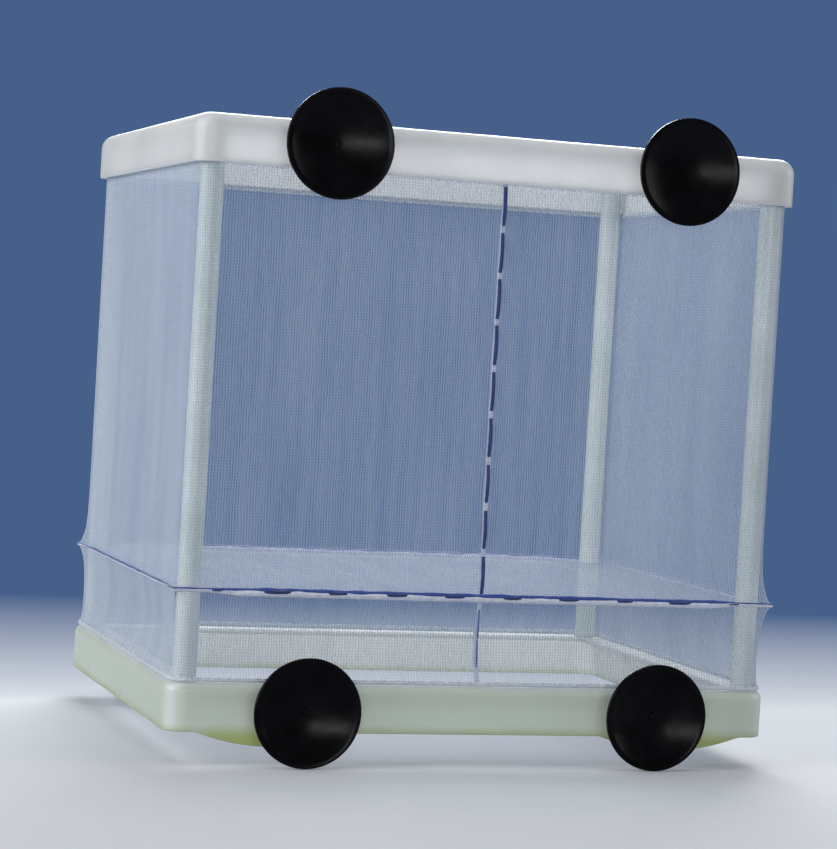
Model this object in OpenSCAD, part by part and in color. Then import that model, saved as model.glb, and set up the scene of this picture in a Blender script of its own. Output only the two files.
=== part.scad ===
// Net breeding box: two plastic rims on four corner posts, a fine net bag sewn
// with one upright seam and one seam round its floor, and four suction cups
// that hold the front of the box to an aquarium's glass.
// The origin lies on the glass, at the middle of the four cups. The box
// reaches back from it along +Y, and +Z is up.

/* [Frame] */
// Width of the frame along the glass
frame_w = 165; // [140:1:200]
// Depth of the frame, away from the glass
frame_d = 125; // [100:1:160]
// Height of the frame, from rim to rim
frame_h = 155; // [130:1:180]
// Outer corner radius of the rims, seen from above
corner_r = 5.5; // [5.5:0.1:6.5]

/* [Rims] */
// Height of the top rim
top_rim_h = 12.5; // [12:0.1:18]
// Radius of the top rim's upper outer edge
top_edge_r = 4; // [2:0.1:5]
// Height of the bottom rim
bottom_rim_h = 12.5; // [12.4:0.1:18]
// Radius of the bottom rim's upper outer edge
bottom_edge_r = 2.4; // [2:0.1:2.6]
// Wall thickness of both rims
rim_wall = 1.4; // [1.2:0.05:1.4]
// Width of the flat ledge that stiffens each rim
ledge_w = 8; // [7:0.1:10]
// Radius of the inner corners of the ledge
ledge_corner_r = 2.5; // [1:0.5:5]

/* [Posts] */
// Outer diameter of the corner posts
post_dia = 6; // [5.6:0.1:6]
// Diameter of the spigots that the posts push onto
spigot_dia = 3.6; // [3:0.1:4]
// Length of the spigots
spigot_len = 8; // [5:0.5:12]

/* [Net bag] */
// Thickness of the net
net_t = 0.4; // [0.3:0.05:0.4]
// Height of the net floor above the underside of the frame
floor_z = 35.5; // [25:0.5:60]
// Height of the narrow rolled hems at the top and the bottom of the bag
hem_h = 1; // [0.9:0.05:1.6]
// Width of the upright seam's folded edges
seam_w = 2.6; // [2:0.1:5]
// Height of the raised seam round the floor
floor_seam_h = 1.6; // [1:0.1:3]
// Reach of the seam's loose corner tips, from the middle of the post
tip_reach = 7.5; // [6:0.1:7.7]

/* [Suction cups] */
// Diameter of a suction cup's lip
cup_dia = 28; // [22:0.5:30]
// Distance from the glass to the front of the frame
cup_stand = 7; // [6.5:0.1:9]
// Distance of each cup's middle from the end of the frame
cup_side = 35; // [25:0.5:50]
// Distance of each cup's middle from the upper or lower edge of the frame
cup_inset = 6; // [5.9:0.05:6.1]
// Diameter of the cup's neck
neck_dia = 6; // [5:0.1:6.2]

/* [Hidden] */
$fn = 64;
tiny = 0.01;
run_gap = 0.05;
face_gap = 0.1;
post_gap = 0.2;
ledge_t = rim_wall;
arc_steps = 12;
// How far a cutting shape reaches past what it cuts
cut = 1;

front_y = cup_stand;
back_y = cup_stand + frame_d;
low_z = -frame_h / 2;
high_z = frame_h / 2;
side_x = frame_w / 2;

// Distances inwards from the frame's outer face
hem_out = rim_wall + face_gap;
hem_in = corner_r - post_dia / 2 - face_gap;
hem_t = hem_in - hem_out;
net_out = (hem_out + hem_in - net_t) / 2;
net_in = net_out + net_t;
seam_raise = 0.65;
seam_fold = 0.6;
seam_out = net_out - seam_raise;
allowance_in = net_in + seam_fold;
tip_w = 3;

// Heights of the bag's parts: the top hem lies just inside the top rim's lower
// edge, and the bottom hem on the bottom rim's ledge
top_hem_z0 = high_z - top_rim_h + face_gap;
top_hem_z1 = top_hem_z0 + hem_h;
bottom_hem_z0 = low_z + bottom_rim_h;
bottom_hem_z1 = bottom_hem_z0 + hem_h;
floor_mid_z = low_z + floor_z;

// Elastic bands inside the hems
elastic_t = 0.35;
sleeve_gap = 0.05;
sleeve_t = (hem_t - elastic_t) / 2 - sleeve_gap;
sleeve_fold = 0.3;

// Suction cups
cup_r = cup_dia / 2;
lip_w = 1;
lip_t = 0.8;
hollow_d = 3.2;
dome_h = 5.4;
hub_r = 5;
boss_r = 4.2;
boss_t = 2.2;
neck_r = neck_dia / 2;
head_r = 4;
head_len = 3.6;
head_edge = 1.2;
cup_x = side_x - cup_side;
cup_z = high_z - cup_inset;

// Lugs that dip below the bottom rim, a little outboard of its two cups
lug_drop = 3.6;
lug_half_w = 20;
lug_shift = 7;
lug_r = (lug_half_w * lug_half_w + lug_drop * lug_drop) / (2 * lug_drop);
lug_facets = 128;

CUPS = [
    ["top_left_cup", -1, 1],
    ["top_right_cup", 1, 1],
    ["bottom_left_cup", -1, -1],
    ["bottom_right_cup", 1, -1],
];
POSTS = [
    ["front_left_post", -1, 0],
    ["front_right_post", 1, 0],
    ["back_left_post", -1, 1],
    ["back_right_post", 1, 1],
];

// Points on an arc round a centre, from one angle to another
function arc(centre, r, from, to) = [
    for (i = [0:arc_steps])
        let (a = from + (to - from) * i / arc_steps)
            [centre[0] + r * cos(a), centre[1] + r * sin(a)]
];

// Outline of the frame moved inwards by a distance, with corners of radius r
module rounded_outline(inset, r) {
    for (sx = [-1, 1])
        for (y = [front_y + inset + r, back_y - inset - r])
            translate([sx * (side_x - inset - r), y])
                circle(r);
    translate([-side_x + inset + r, front_y + inset])
        square([frame_w - 2 * (inset + r), frame_d - 2 * inset]);
    translate([-side_x + inset, front_y + inset + r])
        square([frame_w - 2 * inset, frame_d - 2 * (inset + r)]);
}

// The same with corners round the middles of the posts
module outline(inset) {
    rounded_outline(inset, corner_r - inset);
}

// Upright band that follows the frame, between two distances inwards
module band(out, in, z0, z1) {
    translate([0, 0, z0])
        linear_extrude(z1 - z0)
            difference() {
                outline(out);
                outline(in);
            }
}

// Section of a rim's rounded edge and wall: x is the distance inwards, and
// y runs down from the top of the rim to its lower edge
module rim_section(edge_r, h) {
    inner_r = edge_r - rim_wall;
    polygon(concat(
        arc([edge_r, -edge_r], edge_r, 90, 180),
        [[0, -h], [rim_wall, -h]],
        arc([edge_r, -edge_r], inner_r, 180, 90),
        [[corner_r, -ledge_t], [corner_r, 0]]
    ));
}

// One straight side of a rim: the section runs along X for a length
module rim_side(edge_r, h, length) {
    rotate([90, 0, 90])
        linear_extrude(length)
            rim_section(edge_r, h);
}

// One corner of a rim: the section turns round the middle of the post
module rim_corner(edge_r, h) {
    rotate([0, 0, 180])
        rotate_extrude(angle = 90)
            translate([corner_r, 0])
                mirror([1, 0])
                    rim_section(edge_r, h);
}

// Rounded wall and edge of a rim all the way round, with its top at z = 0
module rim_shell(edge_r, h) {
    for (quarter = [0:3]) {
        along = quarter % 2 == 0 ? frame_w : frame_d;
        across = quarter % 2 == 0 ? frame_d : frame_w;
        translate([0, front_y + frame_d / 2, 0])
            rotate([0, 0, quarter * 90])
                translate([corner_r - along / 2, -across / 2, 0]) {
                    rim_side(edge_r, h, along - 2 * corner_r);
                    translate([0, corner_r, 0])
                        rim_corner(edge_r, h);
                }
    }
}

// Flat ledge of a rim, inside its rounded edge, with its top at z = 0
module rim_ledge(edge_r) {
    translate([0, 0, -ledge_t])
        linear_extrude(ledge_t)
            difference() {
                outline(edge_r);
                rounded_outline(ledge_w, ledge_corner_r);
            }
}

// Middle of a post, and the angle of the frame's corner seen from there
function post_place(p) = [
    p[1] * (side_x - corner_r),
    p[2] == 0 ? front_y + corner_r : back_y - corner_r,
    0
];
function outward_angle(p) = atan2(p[2] == 0 ? -1 : 1, p[1]);

// Places its children at the four posts
module at_posts() {
    for (p = POSTS)
        translate(post_place(p))
            children();
}

// Cylinders along Y at the two cups of a rim, from y0 to y1
module at_cup_holes(z, y0, y1, r) {
    for (sx = [-1, 1])
        translate([sx * cup_x, y0, z])
            rotate([-90, 0, 0])
                cylinder(h = y1 - y0, r = r);
}

// Bored pads in a rim's front wall, where the cups' necks pass through
module cup_bosses(z) {
    at_cup_holes(z, front_y, front_y + boss_t, boss_r);
}
module cup_bores(z) {
    at_cup_holes(z, front_y - cut, front_y + boss_t + cut, neck_r + run_gap);
}

module top_rim() {
    color("#E4E8E8")
        difference() {
            union() {
                translate([0, 0, high_z]) {
                    rim_shell(top_edge_r, top_rim_h);
                    rim_ledge(top_edge_r);
                }
                cup_bosses(cup_z);
                at_posts()
                    translate([0, 0, high_z - ledge_t - spigot_len])
                        cylinder(h = spigot_len + tiny, d = spigot_dia);
            }
            cup_bores(cup_z);
        }
}

// Shallow rounded lug: the part of a large disc below the rim's lower edge
module rim_lug() {
    intersection() {
        translate([0, 0, lug_r - lug_drop])
            rotate([-90, 0, 0])
                cylinder(h = rim_wall, r = lug_r, $fn = lug_facets);
        translate([-lug_half_w - cut, 0, -lug_drop - cut])
            cube([2 * (lug_half_w + cut), rim_wall, lug_drop + cut + tiny]);
    }
}

module bottom_rim() {
    color("#DDE6DC")
        difference() {
            union() {
                translate([0, 0, low_z + bottom_rim_h]) {
                    rim_shell(bottom_edge_r, bottom_rim_h);
                    rim_ledge(bottom_edge_r);
                }
                cup_bosses(-cup_z);
                for (sx = [-1, 1])
                    translate([sx * (cup_x + lug_shift), front_y, low_z])
                        rim_lug();
                at_posts()
                    translate([0, 0, low_z + bottom_rim_h - tiny])
                        cylinder(h = spigot_len + tiny, d = spigot_dia);
            }
            cup_bores(-cup_z);
        }
}

// One corner post: a tube from ledge to ledge, pushed onto a spigot each end
module post(p) {
    z0 = low_z + bottom_rim_h;
    z1 = high_z - ledge_t;
    color("#D9E2E0")
        translate(post_place(p) + [0, 0, z0])
            difference() {
                cylinder(h = z1 - z0, d = post_dia);
                translate([0, 0, -cut])
                    cylinder(h = z1 - z0 + 2 * cut, d = spigot_dia + 2 * run_gap);
            }
}

// The net walls: one strip that goes outside the posts all the way round
module wall_net() {
    color("#B9C9DC")
        band(net_out, net_in, bottom_hem_z1, top_hem_z0);
}

// The net floor, with an opening in each corner for the post
module floor_net() {
    color("#C7D3E0")
        translate([0, 0, floor_mid_z - net_t / 2])
            difference() {
                linear_extrude(net_t)
                    outline(net_in);
                translate([0, 0, -cut])
                    at_posts()
                        cylinder(h = net_t + 2 * cut, d = post_dia + 2 * post_gap);
                translate([-seam_w / 2, front_y, -cut])
                    cube([seam_w, allowance_in, net_t + 2 * cut]);
            }
}

// Folded edges of the upright seam in the middle of the front
module front_seam() {
    color("#1F3F86")
        translate([-seam_w / 2, front_y + net_in, bottom_hem_z1])
            cube([seam_w, allowance_in - net_in, top_hem_z0 - bottom_hem_z1]);
}

// Raised seam round the floor, with its loose tip at each corner
module floor_seam() {
    color("#1F3F86")
        difference() {
            union() {
                band(seam_out, net_out, floor_mid_z - floor_seam_h / 2,
                     floor_mid_z + floor_seam_h / 2);
                for (p = POSTS)
                    translate(post_place(p) + [0, 0, floor_mid_z - net_t])
                        rotate([0, 0, outward_angle(p)])
                            linear_extrude(2 * net_t)
                                polygon([[corner_r - net_out, -tip_w / 2], [tip_reach, 0],
                                         [corner_r - net_out, tip_w / 2]]);
            }
            translate([0, 0, floor_mid_z - floor_seam_h])
                linear_extrude(2 * floor_seam_h)
                    outline(net_out);
        }
}

// A folded hem: a flat sleeve that follows the frame between two heights
module hem(z0, z1) {
    color("#EDF1F4")
        difference() {
            band(hem_out, hem_in, z0, z1);
            band(hem_out + sleeve_t, hem_in - sleeve_t, z0 + sleeve_fold, z1 - sleeve_fold);
        }
}

// A flat elastic band that lies in a hem
module elastic(z0, z1) {
    inset = hem_out + sleeve_t + sleeve_gap;
    color("#F4F4F0")
        band(inset, inset + elastic_t, z0 + sleeve_fold, z1 - sleeve_fold - sleeve_gap);
}

module top_hem() {
    hem(top_hem_z0, top_hem_z1);
}

module top_elastic() {
    elastic(top_hem_z0, top_hem_z1);
}

module bottom_hem() {
    hem(bottom_hem_z0, bottom_hem_z1);
}

module bottom_elastic() {
    elastic(bottom_hem_z0, bottom_hem_z1);
}

// Height on the cup's axis of the middle of the circle through two points
function axis_middle(p, q) =
    (p[0] * p[0] + p[1] * p[1] - q[0] * q[0] - q[1] * q[1]) / (2 * (p[1] - q[1]));

// Half of the section of a cup's dish: x is the distance from its middle, and
// y the distance from the glass. The dome and the hollow are both arcs.
module dish_section() {
    hub_y = front_y - face_gap;
    lip = [cup_r, lip_t];
    dome_end = [hub_r, dome_h];
    dome_y = axis_middle(lip, dome_end);
    dome_r = norm(lip - [0, dome_y]);
    rim_r = cup_r - lip_w;
    hollow_y = axis_middle([rim_r, 0], [0, hollow_d]);
    polygon(concat(
        [[cup_r, 0]],
        arc([0, dome_y], dome_r, acos(cup_r / dome_r), acos(hub_r / dome_r)),
        [[hub_r, hub_y], [0, hub_y]],
        arc([0, hollow_y], hollow_d - hollow_y, 90, acos(rim_r / (hollow_d - hollow_y)))
    ));
}

// Half of the section of a cup's head: a short straight edge and a round top
module head_section() {
    polygon(concat(
        [[0, 0], [head_r, 0]],
        [for (p = arc([0, 0], 1, 0, 90))
            [head_r * p[0], head_edge + (head_len - head_edge) * p[1]]]
    ));
}

// A suction cup: dish, neck through the rim, and round head behind it
module cup(c) {
    head_y = front_y + boss_t + face_gap;
    color("#15161A")
        translate([c[1] * cup_x, 0, c[2] * cup_z])
            rotate([-90, 0, 0]) {
                rotate_extrude()
                    dish_section();
                translate([0, 0, front_y - face_gap - tiny])
                    cylinder(h = boss_t + 2 * face_gap + 2 * tiny, r = neck_r);
                translate([0, 0, head_y])
                    rotate_extrude()
                        head_section();
            }
}

top_rim();
bottom_rim();
for (p = POSTS)
    post(p);
wall_net();
floor_net();
front_seam();
floor_seam();
top_hem();
top_elastic();
bottom_hem();
bottom_elastic();
for (c = CUPS)
    cup(c);
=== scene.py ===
# Looks of a net breeding box: two moulded rims on four corner posts, a bag of
# knitted net with blue-sewn seams, and four black suction cups. Everything is
# in metres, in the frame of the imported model, and its sizes are read from it.
import math

import bmesh
import bpy
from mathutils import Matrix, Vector, geometry, noise


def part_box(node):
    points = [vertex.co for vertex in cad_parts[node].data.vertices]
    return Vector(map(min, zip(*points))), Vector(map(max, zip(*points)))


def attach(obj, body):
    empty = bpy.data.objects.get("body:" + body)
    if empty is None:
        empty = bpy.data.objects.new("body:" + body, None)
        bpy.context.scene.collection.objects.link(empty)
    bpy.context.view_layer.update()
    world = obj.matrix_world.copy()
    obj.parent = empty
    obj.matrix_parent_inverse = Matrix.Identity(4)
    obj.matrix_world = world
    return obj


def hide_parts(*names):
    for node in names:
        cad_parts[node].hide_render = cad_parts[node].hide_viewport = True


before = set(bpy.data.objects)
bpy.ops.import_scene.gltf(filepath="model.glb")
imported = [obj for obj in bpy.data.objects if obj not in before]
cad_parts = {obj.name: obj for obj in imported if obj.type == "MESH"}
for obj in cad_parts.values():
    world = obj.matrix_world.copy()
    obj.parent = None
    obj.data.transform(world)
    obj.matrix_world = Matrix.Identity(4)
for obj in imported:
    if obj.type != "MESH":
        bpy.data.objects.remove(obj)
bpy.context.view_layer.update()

MM = 0.001
MERGE_DIST = 0.002 * MM

# ---------------------------------------------------------------- sizes
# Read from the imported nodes
TOP_RIM_LOW, TOP_RIM_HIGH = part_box("top_rim")
POST_LOW, POST_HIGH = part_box("front_left_post")
NET_LOW, NET_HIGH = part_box("wall_net")
FLOOR_LOW, FLOOR_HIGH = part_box("floor_net")
SEAM_LOW, SEAM_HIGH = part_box("floor_seam")
FOLD_LOW, FOLD_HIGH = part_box("front_seam")

HALF_W = TOP_RIM_HIGH.x
FRONT, BACK = TOP_RIM_LOW.y, TOP_RIM_HIGH.y
MID_Y, HALF_D = (FRONT + BACK) / 2, (BACK - FRONT) / 2
TOP_Z, SKIRT_Z = TOP_RIM_HIGH.z, TOP_RIM_LOW.z
RIM_H = TOP_Z - SKIRT_Z
LEDGE_Z = POST_LOW.z
BASE_Z = LEDGE_Z - RIM_H
WALL = TOP_Z - POST_HIGH.z
POST_R = (POST_HIGH.x - POST_LOW.x) / 2
POST_X = -(POST_HIGH.x + POST_LOW.x) / 2
POST_YS = (POST_LOW.y + POST_R, FRONT + BACK - POST_LOW.y - POST_R)
CORNER_R = HALF_W - POST_X
NET_T = FLOOR_HIGH.z - FLOOR_LOW.z
NET_INSET = HALF_W - NET_HIGH.x + NET_T / 2
FLOOR_Z = (FLOOR_LOW.z + FLOOR_HIGH.z) / 2
LIP_H = SEAM_HIGH.z - SEAM_LOW.z
TIP_REACH = (SEAM_HIGH.x - POST_X) * math.sqrt(2)
LUG_DROP = BASE_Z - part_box("bottom_rim")[0].z

# Rims
TOP_EDGE_R = 4 * MM
BOTTOM_EDGE_R = 2.4 * MM
LEDGE_W = 8 * MM
LEDGE_CORNER_R = 2.5 * MM
EDGE_BREAK = 0.25 * MM
LUG_HALF_W = 20 * MM
LUG_SHIFT = 7 * MM
PAD_R, PAD_T, PAD_ROOT = 4.2 * MM, 2.2 * MM, 0.7 * WALL
BORE_R = 3.05 * MM
SPIGOT_R, SPIGOT_LEN = 1.8 * MM, 8 * MM
SPIGOT_TAPER, SPIGOT_TAPER_LEN = 0.4 * MM, 0.5 * MM
POST_BORE_R = 1.85 * MM

# Suction cups
CUP_NAMES = ["top_left_cup", "top_right_cup", "bottom_left_cup", "bottom_right_cup"]
LIP_W, LIP_T = 1 * MM, 0.8 * MM
HOLLOW_D, DOME_H = 3.2 * MM, 5.4 * MM
HUB_R, NECK_R, HEAD_R = 5 * MM, 3 * MM, 4 * MM
HEAD_LEN, HEAD_EDGE = 3.6 * MM, 1.2 * MM
FACE_GAP = 0.1 * MM

# Spacing of the points that follow the frame
PITCH = 2 * MM
CORNER_STEPS = 10
ARC_STEPS = 10

FRAME_BODY = "frame"
TAU = 2 * math.pi


def even_steps(length):
    """An even number of steps of about PITCH."""
    return 2 * round(length / PITCH / 2)


LONG_STEPS = even_steps(2 * (HALF_W - CORNER_R))
SIDE_STEPS = even_steps(BACK - FRONT - 2 * CORNER_R)


# ---------------------------------------------------------------- meshes
def outline(inset, z=0.0, radius=None):
    """Points of the frame's outline moved inwards, anticlockwise from the middle
    of the front. All outlines have matching points, so any two can be joined."""
    r = CORNER_R - inset if radius is None else radius
    x, y0, y1 = HALF_W - inset - r, FRONT + inset + r, BACK - inset - r
    middles = [Vector((x, y0, z)), Vector((x, y1, z)), Vector((-x, y1, z)), Vector((-x, y0, z))]
    points = []
    for k, middle in enumerate(middles):
        for step in range(CORNER_STEPS + 1):
            a = math.radians(90 * (k - 1 + step / CORNER_STEPS))
            points.append(middle + Vector((r * math.cos(a), r * math.sin(a), 0)))
        reach = points[-1] - middle
        steps = LONG_STEPS if k % 2 else SIDE_STEPS
        for step in range(1, steps):
            points.append(middle.lerp(middles[(k + 1) % 4], step / steps) + reach)
    start = len(points) - LONG_STEPS // 2
    return points[start:] + points[:start]


def link(name, mesh):
    obj = bpy.data.objects.new(name, mesh)
    bpy.context.collection.objects.link(obj)
    return obj


def running(points):
    """Distance from the first point to each, and last of all back to the first."""
    sums = [0.0]
    for p, q in zip(points, points[1:] + points[:1]):
        sums.append(sums[-1] + (q - p).length)
    return sums


def loft(name, rings, closed=False, caps=False):
    """Quads between neighbouring rings of matching points, with a UV map in
    metres: u runs along a ring and v across the rings."""
    count = len(rings[0])
    along = running(rings[0])
    across = running([ring[0] for ring in rings])
    pairs = [(k, k + 1) for k in range(len(rings) - 1)]
    if closed:
        pairs.append((len(rings) - 1, 0))
    faces, uvs = [], []
    for k, (a, b) in enumerate(pairs):
        for i in range(count):
            j = (i + 1) % count
            faces.append((a * count + i, a * count + j, b * count + j, b * count + i))
            left, right = along[i], along[i + 1]
            low, high = across[k], across[k + 1]
            uvs += [(left, low), (right, low), (right, high), (left, high)]
    if caps:
        last = (len(rings) - 1) * count
        faces.append(tuple(reversed(range(count))))
        faces.append(tuple(range(last, last + count)))
        uvs += [(0, 0)] * (2 * count)
    mesh = bpy.data.meshes.new(name)
    mesh.from_pydata([p for ring in rings for p in ring], [], faces)
    layer = mesh.uv_layers.new(name="cloth")
    for spot, uv in zip(layer.data, uvs):
        spot.uv = uv
    return link(name, mesh)


def turned(name, profile, middle, axis, facets=64, closed=False):
    """Solid of revolution; profile is (radius, distance along the axis) pairs."""
    rings = []
    for radius, along in profile:
        ring = []
        for i in range(facets):
            a = TAU * i / facets
            u, v = radius * math.cos(a), radius * math.sin(a)
            turn = Vector((u, v, along)) if axis == "Z" else Vector((u, along, v))
            ring.append(middle + turn)
        rings.append(ring)
    return clean(loft(name, rings, closed))


def clean(obj, angle=32):
    """Merges doubles, turns the faces outwards, and smooths all but sharp edges."""
    work = bmesh.new()
    work.from_mesh(obj.data)
    bmesh.ops.remove_doubles(work, verts=work.verts, dist=MERGE_DIST)
    bmesh.ops.dissolve_degenerate(work, edges=work.edges, dist=MERGE_DIST)
    bmesh.ops.recalc_face_normals(work, faces=work.faces)
    work.to_mesh(obj.data)
    work.free()
    return smooth(obj, angle)


def smooth(obj, angle):
    obj.data.shade_smooth()
    obj.data.set_sharp_from_angle(angle=math.radians(angle))
    return obj


def settle(obj):
    """Turns an object's modifiers into its own plain mesh."""
    graph = bpy.context.evaluated_depsgraph_get()
    mesh = bpy.data.meshes.new_from_object(obj.evaluated_get(graph))
    obj.modifiers.clear()
    obj.data = mesh
    return obj


def combine(obj, tool, operation):
    """Adds tool to obj, or cuts it away, and removes tool."""
    modifier = obj.modifiers.new("combine", "BOOLEAN")
    modifier.operation = operation
    modifier.solver = "EXACT"
    modifier.object = tool
    settle(obj)
    bpy.data.objects.remove(tool)
    return obj


def joined(name, parts):
    """One object of several, which are removed."""
    work = bmesh.new()
    for part in parts:
        work.from_mesh(part.data)
    mesh = bpy.data.meshes.new(name)
    work.to_mesh(mesh)
    work.free()
    for part in parts:
        bpy.data.objects.remove(part)
    return link(name, mesh)


def arc(middle, radius, start, end, steps=ARC_STEPS):
    """Points on an arc; the angles are in degrees."""
    points = []
    for i in range(steps + 1):
        a = math.radians(start + (end - start) * i / steps)
        points.append((middle[0] + radius * math.cos(a), middle[1] + radius * math.sin(a)))
    return points


# ---------------------------------------------------------------- node trees
def srgb(code):
    """Linear RGBA of a hex colour."""
    channels = []
    for i in (1, 3, 5):
        c = int(code[i:i + 2], 16) / 255
        channels.append(c / 12.92 if c <= 0.04045 else ((c + 0.055) / 1.055) ** 2.4)
    return (*channels, 1.0)


def add(tree, kind, inputs=None, **settings):
    """Adds a node with its settings. An input is a value, a socket of another
    node, or another node, which then gives the first output that it has in use."""
    made = tree.nodes.new(kind)
    for key, value in settings.items():
        setattr(made, key, value)
    for key, value in (inputs or {}).items():
        if isinstance(value, bpy.types.Node):
            value = next(output for output in value.outputs if output.enabled)
        if isinstance(value, bpy.types.NodeSocket):
            tree.links.new(value, made.inputs[key])
        else:
            made.inputs[key].default_value = value
    return made


def new_material(name):
    material = bpy.data.materials.new(name)
    material.use_nodes = True
    material.node_tree.nodes.clear()
    return material, material.node_tree


def blotches(tree, place, size, detail=2.0, stretch=(1, 1, 1)):
    """Noise whose blotches are about size metres across, stretched by the factors."""
    scale = tuple(1 / (size * s) for s in stretch)
    moved = add(tree, "ShaderNodeMapping", {"Vector": place, "Scale": scale})
    return add(tree, "ShaderNodeTexNoise", {"Vector": moved, "Scale": 1.0, "Detail": detail})


def mottled(tree, pattern, low, high, first, second):
    """Goes from the first hex colour to the second as the pattern goes from low
    to high."""
    share = add(tree, "ShaderNodeMapRange", {0: pattern, 1: low, 2: high, 3: 0.0, 4: 1.0})
    colours = {0: share, 6: srgb(first), 7: srgb(second)}
    return add(tree, "ShaderNodeMix", colours, data_type="RGBA")


def yarn_waves(tree, uv, pitch, cross_share):
    """Upright yarns at the pitch, and cross yarns that stand out by a share of them."""
    along, across, _ = add(tree, "ShaderNodeSeparateXYZ", {0: uv}).outputs
    turn = add(tree, "ShaderNodeMath", {0: along, 1: TAU / pitch}, operation="MULTIPLY")
    upright = add(tree, "ShaderNodeMath", {0: turn}, operation="COSINE")
    turn = add(tree, "ShaderNodeMath", {0: across, 1: TAU / pitch}, operation="MULTIPLY")
    cross = add(tree, "ShaderNodeMath", {0: turn}, operation="COSINE")
    cross = add(tree, "ShaderNodeMath", {0: cross, 1: cross_share}, operation="MULTIPLY")
    return add(tree, "ShaderNodeMath", {0: upright, 1: cross}, operation="ADD")


def wandering(tree, place, scale, reach):
    """A slow random drift over a surface or path, of up to about half the reach
    each way, and the noise that it comes from."""
    drift = add(tree, "ShaderNodeTexNoise", {"Vector": place, "Scale": scale, "Detail": 1.0})
    centred = add(tree, "ShaderNodeVectorMath", {0: drift.outputs["Color"], 1: (0.5, 0.5, 0.5)},
                  operation="SUBTRACT")
    offset = add(tree, "ShaderNodeVectorMath", {0: centred, "Scale": reach}, operation="SCALE")
    return offset, drift


# ---------------------------------------------------------------- materials
# Outside faces of a rim: how far in the painted shade on the outside reaches, and how far up the painted
# green reflection along the lowest edge reaches
OUTSIDE_SHADE_IN = (0.3 * MM, 1.2 * MM)
REFLECTION_UP = (-1 * MM, 2.2 * MM)
REFLECTION_RAGGED = 0.9 * MM


def moulded_polystyrene(name, colour, shade, outside_shade_colour=None, reflection_colour=None):
    """High-impact polystyrene, injection moulded in a polished tool: white and
    a little translucent, with a soft gloss, faint flow clouds and a very slight
    orange peel. The colour for the outside is painted shade: the outside faces
    of a rim are painted a darker, greener tone than its inner faces. The colour
    for the lowest edge is a painted reflection: a green tinge along that edge."""
    material, tree = new_material(name)
    place = add(tree, "ShaderNodeTexCoord").outputs["Object"]
    tone = mottled(tree, blotches(tree, place, 22 * MM), 0.35, 0.7, colour, shade)
    if outside_shade_colour:
        x, y, z = add(tree, "ShaderNodeSeparateXYZ", {0: place}).outputs
        off_x = add(tree, "ShaderNodeMath", {0: x}, operation="ABSOLUTE")
        in_x = add(tree, "ShaderNodeMath", {0: HALF_W, 1: off_x}, operation="SUBTRACT")
        from_middle = add(tree, "ShaderNodeMath", {0: y, 1: MID_Y}, operation="SUBTRACT")
        off_y = add(tree, "ShaderNodeMath", {0: from_middle}, operation="ABSOLUTE")
        in_y = add(tree, "ShaderNodeMath", {0: HALF_D, 1: off_y}, operation="SUBTRACT")
        inset = add(tree, "ShaderNodeMath", {0: in_x, 1: in_y}, operation="MINIMUM")
        # Painted shade: the outside faces of the rim are painted a darker, greener tone than its inner faces
        film_and_shade = add(tree, "ShaderNodeMapRange", {0: inset, 1: OUTSIDE_SHADE_IN[0], 2: OUTSIDE_SHADE_IN[1], 3: 1.0, 4: 0.0})
        tone = add(tree, "ShaderNodeMix", {0: film_and_shade, 6: tone, 7: srgb(outside_shade_colour)},
                   data_type="RGBA")
        # Painted reflection: a green tinge along the lowest edge, with a ragged upper border
        ragged = add(tree, "ShaderNodeMapRange", {
            0: blotches(tree, place, 9 * MM), 1: 0.0, 2: 1.0, 3: -REFLECTION_RAGGED, 4: REFLECTION_RAGGED})
        height = add(tree, "ShaderNodeMath", {0: z, 1: ragged}, operation="ADD")
        foot = add(tree, "ShaderNodeMapRange", {
            0: height, 1: BASE_Z + REFLECTION_UP[0], 2: BASE_Z + REFLECTION_UP[1], 3: 0.85, 4: 0.0})
        tone = add(tree, "ShaderNodeMix", {0: foot, 6: tone, 7: srgb(reflection_colour)},
                   data_type="RGBA")
    peel = blotches(tree, place, 1.6 * MM)
    gloss = add(tree, "ShaderNodeMapRange", {
        0: blotches(tree, place, 7 * MM, 4.0), 1: 0.3, 2: 0.7, 3: 0.3, 4: 0.42})
    shader = add(tree, "ShaderNodeBsdfPrincipled", {
        "Base Color": tone,
        "Roughness": gloss,
        "IOR": 1.59,
        "Specular IOR Level": 0.35,
        "Subsurface Weight": 0.8,
        "Subsurface Radius": (1.0, 1.0, 1.0),
        "Subsurface Scale": 6 * MM,
        "Normal": add(tree, "ShaderNodeBump", {"Height": peel, "Distance": 0.03 * MM}),
    })
    add(tree, "ShaderNodeOutputMaterial", {"Surface": shader})
    return material


def extruded_tube():
    """Polypropylene tube, extruded: milky, a little glossy, with the fine
    lengthwise lines that the die leaves."""
    material, tree = new_material("extruded_polypropylene")
    place = add(tree, "ShaderNodeTexCoord").outputs["Object"]
    lines = blotches(tree, place, 0.7 * MM, 3.0, (1, 1, 60))
    shader = add(tree, "ShaderNodeBsdfPrincipled", {
        "Base Color": mottled(tree, blotches(tree, place, 14 * MM), 0.3, 0.7, "#E6EEEC", "#D6E2DE"),
        "Roughness": add(tree, "ShaderNodeMapRange", {0: lines, 1: 0.3, 2: 0.7, 3: 0.28, 4: 0.45}),
        "IOR": 1.49,
        "Subsurface Weight": 0.25,
        "Subsurface Radius": (1.0, 1.0, 1.0),
        "Subsurface Scale": 2 * MM,
        "Normal": add(tree, "ShaderNodeBump", {"Height": lines, "Distance": 0.04 * MM}),
    })
    add(tree, "ShaderNodeOutputMaterial", {"Surface": shader})
    return material


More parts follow.
